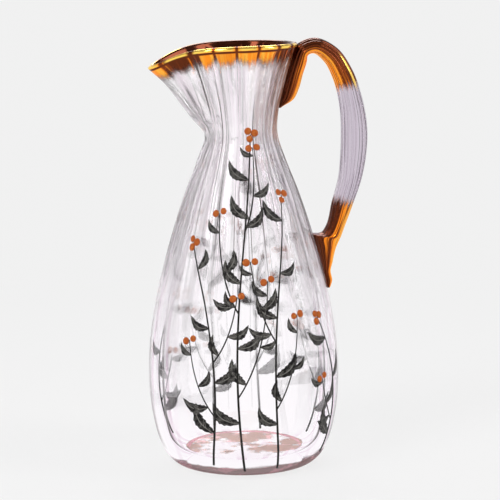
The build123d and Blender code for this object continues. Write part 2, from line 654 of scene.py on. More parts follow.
@dataclass(frozen=True)
class GiltGlass:
    """Clear glass, with its painted dark lines, its wash and the wash's painted refraction, and
    its gold laid over it in turn.
    """

    name: str
    gilding: Gilding
    absorbs: Colour
    density: float
    striae: float
    straight_share: float

    def make(self) -> bpy.types.Material:
        """Build the material.

        Returns:
            The material.
        """
        material, graph = new_material(self.name)
        shader = ClearGlass(self.striae, self.straight_share).shader(graph)
        for layer in (DarkLines(), WashAndFootRefraction(), FiredGold(self.gilding)):
            shader = graph.mix(layer.mask(graph), shader, layer.shader(graph))
        inside = graph.node("ShaderNodeVolumeAbsorption", None,
                            {"Color": self.absorbs, "Density": self.density})
        graph.lead_out(shader, inside)
        return material


@dataclass(frozen=True)
class Enamel:
    """Opaque fired enamel that stands a little proud of the glass."""

    name: str
    base: Colour
    light: Colour
    veined: bool = False
    grains_per_metre: float = 900.0
    grain_limits: Limits = (0.50, 0.75)
    grain_depth: float = 0.08 * MM
    least_roughness: float = 0.35
    grain_roughness: float = 0.35
    shine: float = 0.1
    midrib_limits: Limits = (0.12, 0.03)
    midrib_strength: float = 0.7
    vein_slant: float = 0.22
    vein_radians: float = 88.0
    vein_limits: Limits = (0.45, 0.95)
    vein_ends: Limits = (1.0, 0.7)
    wear_per_metre: float = 420.0
    wear_limits: Limits = (0.40, 0.58)

    def make(self) -> bpy.types.Material:
        """Build the material.

        Returns:
            The material.
        """
        material, graph = new_material(self.name)
        grain = graph.noise(self.grains_per_metre, 3.0)
        pale = self.veins(graph) if self.veined else grain.fade(*self.grain_limits)
        graph.lead_out(graph.principled({
            "Base Color": graph.blend(pale, self.base, self.light),
            "Roughness": grain * self.grain_roughness + self.least_roughness,
            "Specular IOR Level": self.shine,
            "Normal": graph.bump(grain, self.grain_depth)}))
        return material

    def veins(self, graph: Graph) -> Socket:
        """Pale strokes along the midrib and the side veins of a leaf.

        Args:
            graph: The graph that the nodes go into.

        Returns:
            1 on a vein and 0 beside it.
        """
        across = abs(graph.attribute("across"))
        slanted = graph.attribute("along") - across * self.vein_slant
        side = (slanted * self.vein_radians).math("SINE").fade(*self.vein_limits)
        worn = graph.noise(self.wear_per_metre).fade(*self.wear_limits)
        return graph.largest(across.fade(*self.midrib_limits) * self.midrib_strength,
                             side * worn * across.fade(*self.vein_ends))


@dataclass(frozen=True)
class SoftBox:
    """A soft rectangular lamp."""

    name: str
    place: tuple[float, float, float]
    width: float
    depth: float
    power: float

    def hang(self, target: Vector) -> None:
        """Add the lamp to the scene.

        Args:
            target: The point that it is aimed at.
        """
        lamp = bpy.data.lights.new(self.name, "AREA")
        lamp.shape = "RECTANGLE"
        lamp.size, lamp.size_y = self.width, self.depth
        lamp.energy = self.power
        holder = add_object(self.name, lamp)
        holder.location = self.place
        aim = target - Vector(self.place)
        holder.rotation_euler = aim.to_track_quat("-Z", "Y").to_euler()


@dataclass(frozen=True)
class Studio:
    """The pale room: backdrop, floor, soft lamps and camera."""

    backdrop: float = 0.877
    through_glass: float = 1.0
    ceiling_through_glass: float = 0.92
    ceiling_reflected: float = 0.28
    ceiling_from: Limits = (0.30, 0.60)
    strip_count: float = 8.0
    strip: Colour = (0.08, 0.065, 0.07)
    strip_limits: Limits = (-0.92, -0.98)
    half_tone: Colour = (0.92, 0.82, 0.91)
    half_tone_limits: Limits = (-0.45, -0.85)
    floor_half_side: float = 8.0
    floor_gap: float = 0.3 * MM
    floor_matt: float = 0.85
    shadow_near: float = 0.15
    shadow_limits: Limits = (0.12, 0.7)
    soft_boxes: tuple[SoftBox, ...] = (
        SoftBox("soft_box_left", (-0.9, -0.8, 1.1), 0.5, 0.9, 14.0),
        SoftBox("soft_box_right", (1.0, -0.5, 1.0), 0.3, 0.9, 8.0),
        SoftBox("soft_box_back", (0.1, 1.1, 1.2), 0.9, 0.4, 10.0))
    picture_width: int = 500
    pixels_per_metre: float = 1562.5
    azimuth: float = -8.0
    roll: float = -0.62
    camera_height: float = 0.343
    camera_distance: float = 1.3
    target: tuple[float, float, float] = (0.0, 0.0, 0.135)
    aim_right: float = 4.9 * MM
    aim_up: float = 2.6 * MM
    sensor_width: float = 36.0
    sight: float = 50.0

    def build(self) -> None:
        """Add the world, the floor, the lamps and the camera."""
        self.make_world()
        self.make_floor()
        for soft_box in self.soft_boxes:
            soft_box.hang(Vector(self.target))
        self.make_camera()

    def make_world(self) -> None:
        """Surround the jug with a pale room: dimmer overhead, and with soft upright strips."""
        world = bpy.data.worlds.new("pale_room")
        bpy.context.scene.world = world
        world.use_nodes = True
        graph = Graph(world.node_tree)
        direction = graph.node("ShaderNodeSeparateXYZ", None, {
            0: graph.node("ShaderNodeTexCoord").outputs["Generated"]})
        x, y, z = (Socket(graph, output) for output in direction.outputs)
        turn = graph.math("ARCTAN2", y, x) - math.radians(90.0 - self.azimuth)
        waves = (turn * self.strip_count).math("COSINE")
        walls = graph.blend(waves.fade(*self.half_tone_limits), grey(self.through_glass),
                            self.half_tone)
        walls = graph.blend(waves.fade(*self.strip_limits), walls, self.strip)
        ceiling = graph.blend(graph.ray("Transmission"), grey(self.ceiling_reflected),
                              grey(self.ceiling_through_glass))
        room = graph.blend(z.fade(*self.ceiling_from), walls, ceiling)
        seen = graph.blend(graph.ray("Camera"), room, grey(self.backdrop))
        shine = graph.node("ShaderNodeBackground", None, {"Color": seen, "Strength": 1.0})
        graph.node("ShaderNodeOutputWorld", None, {"Surface": shine.outputs[0]})

    def make_floor(self) -> None:
        """Lay a wide pale floor that keeps the jug's shadow and melts into the backdrop."""
        half = self.floor_half_side
        corners = [(-half, -half), (half, -half), (half, half), (-half, half)]
        mesh = bpy.data.meshes.new("floor")
        mesh.from_pydata([(x, y, -self.floor_gap) for x, y in corners], [], [(0, 1, 2, 3)])
        floor = add_object("floor", mesh)
        material, graph = new_material("pale_floor")
        camera = graph.ray("Camera")
        seen = camera + graph.ray("Glossy") + graph.ray("Transmission")
        length = graph.node("ShaderNodeVectorMath", {"operation": "LENGTH"}, {0: graph.place()})
        far = Socket(graph, length.outputs["Value"]).fade(*self.shadow_limits)
        level = graph.blend(camera, grey(self.through_glass), grey(self.backdrop))
        glow = graph.node("ShaderNodeEmission", None, {"Color": level, "Strength": 1.0})
        matt = graph.node("ShaderNodeBsdfDiffuse", None, {"Color": grey(self.floor_matt)})
        unshaded = seen * (far * self.shadow_near + (1 - self.shadow_near))
        graph.lead_out(graph.mix(unshaded, matt, glow))
        mesh.materials.append(material)

    def make_camera(self) -> None:
        """Place the camera where the photograph was taken from."""
        scene = bpy.context.scene
        turn = math.radians(self.azimuth)
        place = Vector((math.sin(turn) * self.camera_distance,
                        -math.cos(turn) * self.camera_distance, self.camera_height))
        forward = Vector(self.target) - place
        right = forward.cross(Vector((0, 0, 1))).normalized()
        up = right.cross(forward).normalized()
        aim = Vector(self.target) + right * self.aim_right + up * self.aim_up
        camera = bpy.data.cameras.new("camera")
        camera.sensor_width = self.sensor_width
        seen_width = self.picture_width / self.pixels_per_metre
        camera.lens = camera.sensor_width * forward.length / seen_width
        camera.clip_end = self.sight
        holder = add_object("camera", camera)
        holder.location = place
        look = (aim - place).to_track_quat("-Z", "Y")
        roll = Euler((0, 0, math.radians(self.roll))).to_quaternion()
        holder.rotation_euler = (look @ roll).to_euler()
        scene.camera = holder
        scene.view_settings.view_transform = "Standard"


def between(start: float, end: float, share: float | np.ndarray) -> float | np.ndarray:
    """The value that lies the given share of the way from start to end."""
    return start + (end - start) * share


def ramp(values: np.ndarray, zero_at: float, one_at: float) -> np.ndarray:
    """Rise evenly from 0, where the values are at zero_at, to 1, where they are at one_at."""
    return np.clip((values - zero_at) / (one_at - zero_at), 0, 1)


def smooth_line(points: Sequence[Sequence[float]], steps: int) -> np.ndarray:
    """Draw a smooth line through some stations.

    Args:
        points: The stations. The first two numbers of each are its place in a plane.
        steps: How many points the line gets from one station to the next.

    Returns:
        The points of the line, one to a row.
    """
    stations = np.array(points, float)
    chords = np.linalg.norm(np.diff(stations[:, :2], axis=0), axis=1)[:, None]
    slopes = np.diff(stations, axis=0) / chords
    inner = (slopes[1:] * chords[:-1] + slopes[:-1] * chords[1:]) / (chords[1:] + chords[:-1])
    tangents = np.vstack([slopes[:1], inner, slopes[-1:]])
    rows = []
    for index, chord in enumerate(chords[:, 0]):
        for t in np.linspace(0, 1, steps, endpoint=False):
            rows.append((2 * t ** 3 - 3 * t ** 2 + 1) * stations[index]
                        + (t ** 3 - 2 * t ** 2 + t) * chord * tangents[index]
                        + (3 * t ** 2 - 2 * t ** 3) * stations[index + 1]
                        + (t ** 3 - t ** 2) * chord * tangents[index + 1])
    rows.append(stations[-1])
    return np.array(rows)


def with_ends(values: np.ndarray) -> np.ndarray:
    """Flatten one value for each ring point, and repeat the first and the last at the ends."""
    flat = np.asarray(values, float).ravel()
    return np.concatenate([flat[:1], flat, flat[-1:]])


def tube_faces(rings: int, sides: int) -> list[tuple[int, ...]]:
    """Faces of a closed skin over rings of points, with a point at each end.

    Args:
        rings: How many rings there are.
        sides: How many points each ring has.

    Returns:
        The faces. The first end point comes first, then the rings, then the last end point.
    """
    faces = []
    last = 1 + rings * sides
    top = last - sides
    for side in range(sides):
        after = (side + 1) % sides
        faces.append((0, 1 + after, 1 + side))
        faces.append((last, top + side, top + after))
        for ring in range(rings - 1):
            low = 1 + ring * sides
            faces.append((low + side, low + after, low + sides + after, low + sides + side))
    return faces


@dataclass(frozen=True)
class Skin:
    """One closed skin: rings of points with a point at each end, and values at each point."""

    points: np.ndarray
    faces: list[tuple[int, ...]]
    values: dict[str, np.ndarray]

    @classmethod
    def over(cls, first: Sequence[float], rings: np.ndarray, last: Sequence[float],
             values: dict[str, np.ndarray] | None = None) -> "Skin":
        """Close a skin over some rings.

        Args:
            first: The point at the first ring's end.
            rings: The points, by ring and by side.
            last: The point at the last ring's end.
            values: Values kept at each point, by name.

        Returns:
            The skin.
        """
        points = np.vstack([[first], rings.reshape(-1, 3), [last]])
        return cls(points, tube_faces(*rings.shape[:2]), values or {})

    @classmethod
    def joined(cls, skins: Sequence["Skin"]) -> "Skin":
        """Put several skins into one, each of them still closed by itself.

        Args:
            skins: The skins, which keep values of the same names.

        Returns:
            The skin.
        """
        faces, first = [], 0
        for skin in skins:
            faces += [tuple(corner + first for corner in face) for face in skin.faces]
            first += len(skin.points)
        values = {key: np.concatenate([skin.values[key] for skin in skins])
                  for key in skins[0].values}
        return cls(np.vstack([skin.points for skin in skins]), faces, values)

    def put_in_scene(self, name: str, finish: GiltGlass | Enamel) -> bpy.types.Object:
        """Make a smooth mesh object that rides on the jug, and dress it.

        Args:
            name: The piece's name.
            finish: Its glass or its enamel.

        Returns:
            The piece.
        """
        mesh = bpy.data.meshes.new(name)
        mesh.from_pydata(self.points.tolist(), [], self.faces)
        mesh.polygons.foreach_set("use_smooth", [True] * len(mesh.polygons))
        for key, values in self.values.items():
            layer = mesh.attributes.new(key, "FLOAT", "POINT")
            layer.data.foreach_set("value", np.asarray(values, np.float32))
        mesh.update()
        piece = add_object(name, mesh)
        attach(piece, "root")
        mesh.materials.append(finish.make())
        return piece


# Radius, height, groove depth and share of the spout
RingStation = tuple[float, float, float, float]


@dataclass
class BlownBody:
    """The blown body: smooth heel and belly, ribbed shoulder, waist, mouth, spout and lip."""

    belly_height: float = 60.0 * MM
    neck_height: float = 212.0 * MM
    rim_height: float = 270.0 * MM
    standing_radius: float = 38.5 * MM
    belly_radius: float = 61.0 * MM
    neck_radius: float = 23.4 * MM
    rim_radius: float = 36.3 * MM
    floor_thickness: float = 9.5 * MM
    belly_wall: float = 8.5 * MM
    neck_wall: float = 5.0 * MM
    lip_thickness: float = 3.8 * MM
    floor_radius: float = 36.0 * MM
    hollow_radius: float = 29.0 * MM
    hollow_depth: float = 2.2 * MM
    flat_width: float = 3.0 * MM
    rib_count: int = 16
    rib_depth: float = 1.2 * MM
    inner_rib_depth: float = 0.5 * MM
    groove_on_lip: float = 0.3
    lobe_edge: float = 4.0 * MM
    lobe_middle: float = 6.0 * MM
    lobe_spread: float = 5.0 * MM
    lobe_deepening: float = 0.5
    spout_reach: float = 58.5 * MM
    spout_drop: float = 13.5 * MM
    spout_spread: float = 20.0
    gilt_width: float = 11.0 * MM
    wash_ring_width: float = 2.2 * MM
    wash_patch: float = 0.55
    wash_band_height: float = 7.5 * MM
    wash_band_weight: float = 1.3
    mirror_spread: float = 42.0
    points_per_rib: int = 16
    outer_steps: int = 8
    inner_steps: int = 7

    heel_curve = ((0.0, 0.0), (0.025, 0.27), (0.095, 0.49), (0.25, 0.71), (0.52, 0.90), (1.0, 1.0))
    shoulder_curve = ((0.0, 0.0), (0.15, 0.035), (0.30, 0.13), (0.46, 0.28), (0.62, 0.465),
                      (0.77, 0.67), (0.90, 0.875), (1.0, 1.0))
    funnel_curve = ((0.0, 0.0, 0.0), (0.28, 0.07, 0.335), (0.50, 0.29, 0.53),
                    (0.78, 0.63, 0.765), (1.0, 1.0, 1.0))
    inner_heel_curve = ((0.0, 0.0), (0.03, 0.35), (0.12, 0.66), (0.30, 0.85), (0.60, 0.96),
                        (1.0, 1.0))
    floor_shares = (0.975, 0.95, 0.91, 0.75, 0.55, 0.35, 0.15)
    # Painted shade of the gold: turns from the spout in degrees, and how brown it is at each
    shade_turns = (11, 15, 38, 46, 120, 128)
    shade_depths = (0.1, 0.8, 0.7, 0.1, 0.1, 0.7)

    @property
    def lip_start(self) -> float:
        """The height at which the rounding of the lip starts."""
        return self.rim_height - self.lip_thickness / 2

    @cached_property
    def outline(self) -> np.ndarray:
        """The outside's stations on a fine smooth line, before the lobes under the lip."""
        return smooth_line(self.outer_stations(), self.outer_steps)

    def upper_stations(self, radii: tuple[float, float, float],
                       groove: float) -> list[RingStation]:
        """Stations of one skin from above the belly to the lip.

        Args:
            radii: The skin's radius at the belly, at the neck and at the rim.
            groove: The depth of its grooves between the ribs.

        Returns:
            The stations.
        """
        stations = []
        for up, inward in self.shoulder_curve[1:-1]:
            stations.append((between(radii[0], radii[1], inward),
                             between(self.belly_height, self.neck_height, up),
                             groove * min(1.0, 2 * up), 0.0))
        for up, out, pull in self.funnel_curve:
            stations.append((between(radii[1], radii[2], out),
                             between(self.neck_height, self.lip_start, up), groove, pull))
        return stations

    def outer_stations(self) -> list[RingStation]:
        """Stations of the outside, from the standing ring up to the lip."""
        heel = [(between(self.standing_radius, self.belly_radius, out),
                 self.belly_height * up, 0.0, 0.0) for up, out in self.heel_curve]
        return heel + self.upper_stations(
            (self.belly_radius, self.neck_radius, self.rim_radius), self.rib_depth)

    def inner_stations(self) -> list[RingStation]:
        """Stations of the inside, from the flat floor up to the lip.

        Returns:
            The stations.
        """
        belly = self.belly_radius - self.belly_wall
        heel = [(between(self.floor_radius, belly, out),
                 between(self.floor_thickness, self.belly_height, up), 0.0, 0.0)
                for up, out in self.inner_heel_curve]
        return heel + self.upper_stations(
            (belly, self.neck_radius - self.neck_wall, self.rim_radius - self.lip_thickness),
            self.inner_rib_depth)

    def lip_stations(self) -> list[RingStation]:
        """Stations over the rounded lip, without its two ends.

        Returns:
            The stations, from the outside to the inside.
        """
        half = self.lip_thickness / 2
        stations = []
        for share in np.linspace(0, 1, 13)[1:-1]:
            groove = self.groove_on_lip * between(self.rib_depth, self.inner_rib_depth, share)
            stations.append((self.rim_radius - half + half * math.cos(math.pi * share),
                             self.lip_start + half * math.sin(math.pi * share), groove, 1.0))
        return stations

    def spout_pull(self, angle: np.ndarray) -> np.ndarray:
        """How far the glass at these angles from the spout was pulled.

        Args:
            angle: The angles in degrees.

        Returns:
            1 at the spout and 0 behind.
        """
        turn = np.abs((angle + 180) % 360 - 180)
        behind = 1 / (1 + (180 / self.spout_spread) ** 2)
        return (1 / (1 + (turn / self.spout_spread) ** 2) - behind) / (1 - behind)

    def ring(self, station: Sequence[float], angle: np.ndarray) -> np.ndarray:
        """Points round the jug at one station.

        Args:
            station: Radius, height, groove depth and share of the spout.
            angle: The angles from the spout in degrees.

        Returns:
            The points, one to a row.
        """
        radius, height, groove, share = station
        pull = self.spout_pull(angle) * share
        rib = (angle * self.rib_count / 360 + 0.5) % 1 * 2 - 1
        outward = (radius + (self.spout_reach - self.rim_radius) * pull
                   - max(groove, 0.0) * rib ** 2)
        turn = np.radians(180 + angle)
        return np.stack([outward * np.cos(turn), outward * np.sin(turn),
                         height - self.spout_drop * pull], -1)

    def under_stations(self) -> list[RingStation]:
        """Stations of the ground hollow and of the flat that the jug stands on.

        Returns:
            The stations, from the middle outwards.
        """
        stations = [(self.hollow_radius * share, self.hollow_depth * (1 - share ** 2), 0.0, 0.0)
                    for share in np.linspace(0.15, 1, 9)]
        return stations + [(self.standing_radius - self.flat_width, 0.0, 0.0, 0.0)]

    def scalloped(self, line: np.ndarray) -> np.ndarray:
        """Let the ribs of a skin end in rounded lobes, under a lip that is almost smooth.

        Args:
            line: The skin's stations on a fine line.

        Returns:
            The stations with the changed groove depth.
        """
        below = self.lip_start - line[:, 1]
        smooth = ramp(below, 0.0, self.lobe_edge)
        deeper = np.exp(-((below - self.lobe_middle) / self.lobe_spread) ** 2)
        changed = line.copy()
        changed[:, 2] *= (between(self.groove_on_lip, 1.0, smooth ** 2 * (3 - 2 * smooth))
                          + self.lobe_deepening * deeper)
        return changed

    def floor_wash(self, stack: np.ndarray) -> np.ndarray:
        """How much fired wash the inside has: a ring round its floor and patches over it.

        Args:
            stack: The points of the rings.

        Returns:
            0 where there is none, as at the front, and 1 where there is most, for each point.
        """
        radius, y = np.hypot(stack[:, :, 0], stack[:, :, 1]), stack[:, :, 1]
        ring = np.exp(-((radius - self.floor_radius) / self.wash_ring_width) ** 2)
        ring *= ramp(y, -0.8 * self.floor_radius, 0.2 * self.floor_radius)
        patch = self.wash_patch * ramp(y, -35.2 * MM, -13.2 * MM)
        on_floor = stack[:, :, 2] < self.floor_thickness + 3 * MM
        return on_floor * np.where(radius < self.floor_radius, np.maximum(ring, patch), ring)

    def foot_refraction(self, stack: np.ndarray) -> np.ndarray:
        """How much painted refraction of the floor's wash the outside has: a low band, thickest in
        front and none behind.

        Args:
            stack: The points of the rings.

        Returns:
            0 where there is none and more where it is thicker, for each point.
        """
        radius = np.hypot(stack[:, :, 0], stack[:, :, 1])
        at_edge = radius > self.standing_radius - 1 * MM
        in_front = ramp(stack[:, :, 1] / radius, 0.22, -0.78)
        height = stack[:, :, 2] / self.wash_band_height
        return np.clip(self.wash_band_weight - height, 0, None) * at_edge * in_front

    def gold_shade(self, angle: np.ndarray) -> np.ndarray:
        """How much painted shade the gold has round the outside, from 0 to 1, at these angles in
        degrees.
        """
        turn = np.abs((angle + 180) % 360 - 180)
        return np.interp(turn, self.shade_turns, self.shade_depths)

    def kept_values(self, stack: np.ndarray, angle: np.ndarray, across: np.ndarray,
                    crest: int) -> dict[str, np.ndarray]:
        """What the skin keeps at each point for its finish.

        Args:
            stack: The points of the rings.
            angle: The angles of each ring's points in degrees.
            across: How many ribs each point lies from the spout.
            crest: The number of the ring on top of the lip.

        Returns:
            The values, by name.
        """
        steps = np.linalg.norm(np.diff(stack, axis=0), axis=2)
        travel = np.vstack([np.zeros((1, len(angle))), np.cumsum(steps, axis=0)])
        below_crest = travel[crest] - travel
        inner = below_crest < 0
        height = stack[:, :, 2]
        heel = ramp(height, 138 * MM, 18 * MM)
        by_handle = np.exp(-((angle - 180) / self.mirror_spread) ** 2)
        values = {
            "gilt": self.gilt_width - np.abs(below_crest),
            "crest": below_crest,
            "foot": inner * self.floor_wash(stack),
            # Painted refraction of the floor's wash on the foot's outside
            "base": ~inner * self.foot_refraction(stack),
            "heel": heel,
            # Painted shade: dark lines along the outline of the inside in the heel
            "contour": heel * np.where(inner, 0.9, 0.3) * ramp(height, 11 * MM, 16 * MM),
            # How strong the mauve streaks and the painted dark lines are up the ribs
            "ribbed": ramp(height, 108 * MM, 168 * MM),
            # Painted reflection of the handle's gold on the neck beside it
            "mirrored": by_handle * ramp(height, 200 * MM, 220 * MM),
            # Painted shade: full inside the mouth, and by the turn round the outside
            "shade": np.where(inner, 1.0, self.gold_shade(angle)),
            "groove": np.abs((across + 0.5) % 1 * 2 - 1),
            "grain_across": np.minimum(across, self.rib_count - across),
            "grain_along": below_crest}
        return {key: with_ends(kept) for key, kept in values.items()}

    def build(self, finish: GiltGlass) -> bpy.types.Object:
        """Make the glass as one closed skin and dress it.

        Args:
            finish: The glass and its gold.

        Returns:
            The piece.
        """
        sides = self.rib_count * self.points_per_rib
        angle = np.arange(sides) * 360.0 / sides
        under = self.under_stations()
        outside = self.scalloped(self.outline)
        lip = self.lip_stations()
        inside = self.scalloped(smooth_line(self.inner_stations(), self.inner_steps))[::-1]
        floor = [(self.floor_radius * share, self.floor_thickness, 0.0, 0.0)
                 for share in self.floor_shares]
        stack = np.array([self.ring(station, angle)
                          for station in (*under, *outside, *lip, *inside, *floor)])
        # Streaks and ribs would run together into spokes at the middle of the flat parts
        across = np.tile(angle * self.rib_count / 360, (len(stack), 1))
        across[:len(under)] = 0
        across[-len(floor):] = 0
        crest = len(under) + len(outside) + len(lip) // 2
        skin = Skin.over((0, 0, self.hollow_depth), stack, (0, 0, self.floor_thickness),
                         self.kept_values(stack, angle, across, crest))
        piece = skin.put_in_scene("body_glass", finish)
        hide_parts("body")
        return piece

    def surface(self, angle: float, height: float, proud: float = 0.0) -> np.ndarray:
        """A point on the outside.

        Args:
            angle: The angle from the spout in degrees.
            height: The height above the table.
            proud: How far the point stands off the glass.

        Returns:
            The point.
        """
        line = self.outline
        turn = np.array([angle])
        pull = float(self.spout_pull(turn)[0])
        heights = line[:, 1] - self.spout_drop * pull * line[:, 3]
        station = [np.interp(height, heights, line[:, column]) for column in range(4)]
        station[0] += proud
        station[1] = height + self.spout_drop * pull * station[3]
        return self.ring(station, turn)[0]

    def radius_at(self, height: float) -> float:
        """The radius of the outside at this height, away from the spout."""
        return float(np.interp(height, self.outline[:, 1], self.outline[:, 0]))


# X and height of a strap's finger side, X and height of its far side, and its width
StrapStation = tuple[float, float, float, float, float]


@dataclass
class AppliedHandle:
    """The applied handle: a reeded strap from the neck over an arch to its root and tail."""

    body: BlownBody
    upper_tail_height: float = 229.0 * MM
    arch_rise: float = 2.2 * MM
    arch_overhang: float = 9.8 * MM
    finger_gap: float = 40.9 * MM
    grip_height: float = 208.0 * MM
    root_height: float = 146.9 * MM
    lower_tail_height: float = 112.5 * MM
    leg_lean: float = 19.0
    web_reach: float = 7.7 * MM
    web_radius: float = 4.2 * MM
    tail_thickness: float = 5.4 * MM
    upper_leg_thickness: float = 11.6 * MM
    arch_thickness: float = 10.0 * MM
    grip_thickness: float = 17.4 * MM
    leg_thickness: float = 11.7 * MM
    root_thickness: float = 18.5 * MM
    strap_width: float = 18.0 * MM
    tail_width: float = 11.0 * MM
    end_roundness: float = 0.3
    reed_count: int = 14
    reed_depth: float = 0.7 * MM
    seat_depth: float = 1.2 * MM
    upper_gilt_height: float = 243.0 * MM
    lower_gilt_height: float = 166.0 * MM
    glint_reed: int = 5
    glint_start: float = 20.0 * MM
    without_glint: float = 1.0
    lines_on_grip: float = 0.8
    points_per_reed: int = 10
    steps: int = 9

    def seat_x(self, height: float) -> float:
        """How far from the jug's axis a strap starts that is seated at this height."""
        return self.body.radius_at(height) - self.seat_depth

    def upper_tail(self) -> list[StrapStation]:
        """Stations up the outside of the mouth.

        Returns:
            The stations.
        """
        stations = []
        for up, fill in ((0.0, 0.0), (0.12, 0.78), (0.28, 0.97), (0.50, 1.0), (0.70, 1.0)):
            height = between(self.upper_tail_height, self.body.rim_height, up)
            thickness = between(self.tail_thickness / 2, self.upper_leg_thickness, fill)
            seat = self.seat_x(height)
            stations.append((seat + thickness, height, seat, height,
                             between(self.tail_width, self.strap_width, fill)))
        return stations

    def arch_station(self, foot: tuple[float, float], turn: float,
                     thickness: float) -> StrapStation:
        """One station of the arch, which comes down to its foot in a quarter of an ellipse.

        Args:
            foot: X and height of the ellipse's end.
            turn: The angle from the arch's top, in degrees.
            thickness: The strap's thickness there.

        Returns:
            The station.
        """
        top_x = self.body.rim_radius + self.arch_overhang
        top_z = self.body.rim_height + self.arch_rise - self.arch_thickness / 2
        wide, high = foot[0] - top_x, top_z - foot[1]
        side, over = math.sin(math.radians(turn)), math.cos(math.radians(turn))
        x, z = top_x + wide * side, foot[1] + high * over
        out_x, out_z = side / wide, over / high
        half = thickness / 2 / math.hypot(out_x, out_z)
        return (x - out_x * half, z - out_z * half, x + out_x * half, z + out_z * half,
                self.strap_width)

    def lower_leg(self, grip: StrapStation) -> list[StrapStation]:
        """Stations down the leg, and round the web that joins it to the body.

        Args:
            grip: The station at the middle of the grip.

        Returns:
            The stations after it.
        """
        lean = math.radians(self.leg_lean)
        level, slope = math.cos(lean), math.sin(lean)
        near_x = self.seat_x(self.root_height) + self.seat_depth + self.web_reach
        near_z = self.root_height + self.web_radius * (1 - slope)
        far_x = near_x + self.leg_thickness * level
        far_z = near_z - self.leg_thickness * slope
        stations = []
        for down, near_in, far_in in ((0.20, 0.04, 0.065), (0.42, 0.15, 0.23),
                                      (0.70, 0.55, 0.585), (1.0, 1.0, 1.0)):
            stations.append((between(grip[0], near_x, near_in), between(grip[1], near_z, down),
                             between(grip[2], far_x, far_in), between(grip[3], far_z, down),
                             self.strap_width))
        web_x = near_x - self.web_radius * level
        web = [(web_x + self.web_radius * math.cos(turn),
                self.root_height + self.web_radius * (1 - math.sin(turn)))
               for turn in (math.radians(55), math.radians(90))]
        web.append((self.seat_x(self.root_height), self.root_height))
        for count, (x, z) in enumerate(web, 1):
            step = count * self.web_radius / 4
            stations.append((x, z, far_x - step * slope, far_z - step * level, self.strap_width))
        return stations

    def lower_tail(self) -> list[StrapStation]:
        """Stations down the body, where the strap is drawn thin and ends in a small knob.

        Returns:
            The stations.
        """
        stations = []
        for down, fill in ((0.26, 0.65), (0.40, 0.44), (0.55, 0.25), (0.69, 0.06), (0.90, 0.0),
                           (1.0, -0.15)):
            height = between(self.root_height, self.lower_tail_height, down)
            thickness = between(self.tail_thickness, self.root_thickness, fill)
            seat = self.seat_x(height)
            stations.append((seat, height, seat + thickness, height,
                             between(self.strap_width, self.tail_width, down)))
        return stations

    def run(self) -> list[StrapStation]:
        """The strap's stations from its upper tail to its lower one.

        Returns:
            The stations.
        """
        stations = self.upper_tail()
        near_x, height, far_x = stations[-1][:3]
        stations.append(self.arch_station(((near_x + far_x) / 2, height), 45,
                                          self.arch_thickness))
        grip = (self.body.neck_radius + self.finger_gap + self.grip_thickness / 2,
                self.grip_height)
        for turn in (0, 25, 45, 65, 90):
            thickness = between(self.arch_thickness, self.grip_thickness, turn / 90)
            stations.append(self.arch_station(grip, turn, thickness))
        return stations + self.lower_leg(stations[-1]) + self.lower_tail()

    def section(self, station: np.ndarray) -> np.ndarray:
        """Points round the strap at one station, from its finger side to its far side.

        Args:
            station: The station's two sides and its width.

        Returns:
            The points, one to a row.
        """
        near, far, width = station[:2], station[2:4], station[4]
        middle, thickness = (near + far) / 2, np.hypot(*(far - near))
        across = (near - far) / thickness
        sides = self.reed_count * self.points_per_reed
        angle = np.arange(sides) * 360.0 / sides
        reed = (angle * self.reed_count / 360 + 0.5) % 1 * 2 - 1
        inset = min(self.reed_depth, thickness / 8) * reed ** 2
        out = (thickness / 2 - inset) * np.cos(np.radians(angle))
        side = (width / 2 - inset) * np.sin(np.radians(angle))
        return np.stack([middle[0] + across[0] * out, side, middle[1] + across[1] * out], -1)

    def rounded_end(self, station: np.ndarray) -> list[np.ndarray]:
        """Rings that close a tail of the strap as a small dome that hangs from it.

        Args:
            station: The tail's last station.

        Returns:
            The rings from the station downwards, of which the last is almost a point.
        """
        base = self.section(station)
        middle = base.mean(axis=0)
        reach = np.array([0, 0, -self.end_roundness * abs(station[2] - station[0])])
        return [middle + (base - middle) * math.cos(turn) + reach * math.sin(turn)
                for turn in np.radians((25, 45, 65, 80, 89))]

    def kept_values(self, middles: np.ndarray, sides: int) -> dict[str, np.ndarray]:
        """What the skin keeps at each point for its finish.

        Args:
            middles: The middle of each ring.
            sides: How many points each ring has.

        Returns:
            The values, by name. The handle has no wash, so it keeps none for it.
        """
        travel = np.concatenate([[0], np.cumsum(np.linalg.norm(np.diff(middles, axis=0), axis=1))])
        top = int(np.argmax(middles[:, 2]))
        upper, lower = (np.interp(-height, -middles[top:, 2], travel[top:])
                        for height in (self.upper_gilt_height, self.lower_gilt_height))
        along = np.tile(travel[:, None], (1, sides))
        on_arch = along < (upper + lower) / 2
        reed = np.tile(np.arange(sides) / self.points_per_reed, (len(middles), 1))
        finger_side = np.cos(reed * 2 * math.pi / self.reed_count) / 2 + 0.5
        from_finger_side = np.minimum(reed, self.reed_count - reed)
        # Painted highlight: a yellow glint along one reed of the arch, from a little past its top,
        # with a painted dark line beside it
        before_glint = 1 - ramp(along, travel[top], travel[top] + self.glint_start)
        beside_glint = np.abs(from_finger_side - self.glint_reed)
        glint = (0.6 + 9 * beside_glint + 8 * before_glint) * MM
        values = {
            "gilt": np.maximum(upper - along, along - lower),
            "crest": np.where(on_arch, glint, self.without_glint),
            # How strong the mauve streaks and the painted dark lines are on the handle
            "ribbed": np.full(along.shape, self.lines_on_grip),
            # Painted shade: browner on the far side over the arch and on the finger side below
            "shade": np.where(on_arch, 1.12 - finger_side, finger_side + 0.06),
            "groove": np.abs((reed + 0.5) % 1 * 2 - 1),
            "grain_across": from_finger_side,
            "grain_along": along}
        return {key: with_ends(kept) for key, kept in values.items()}

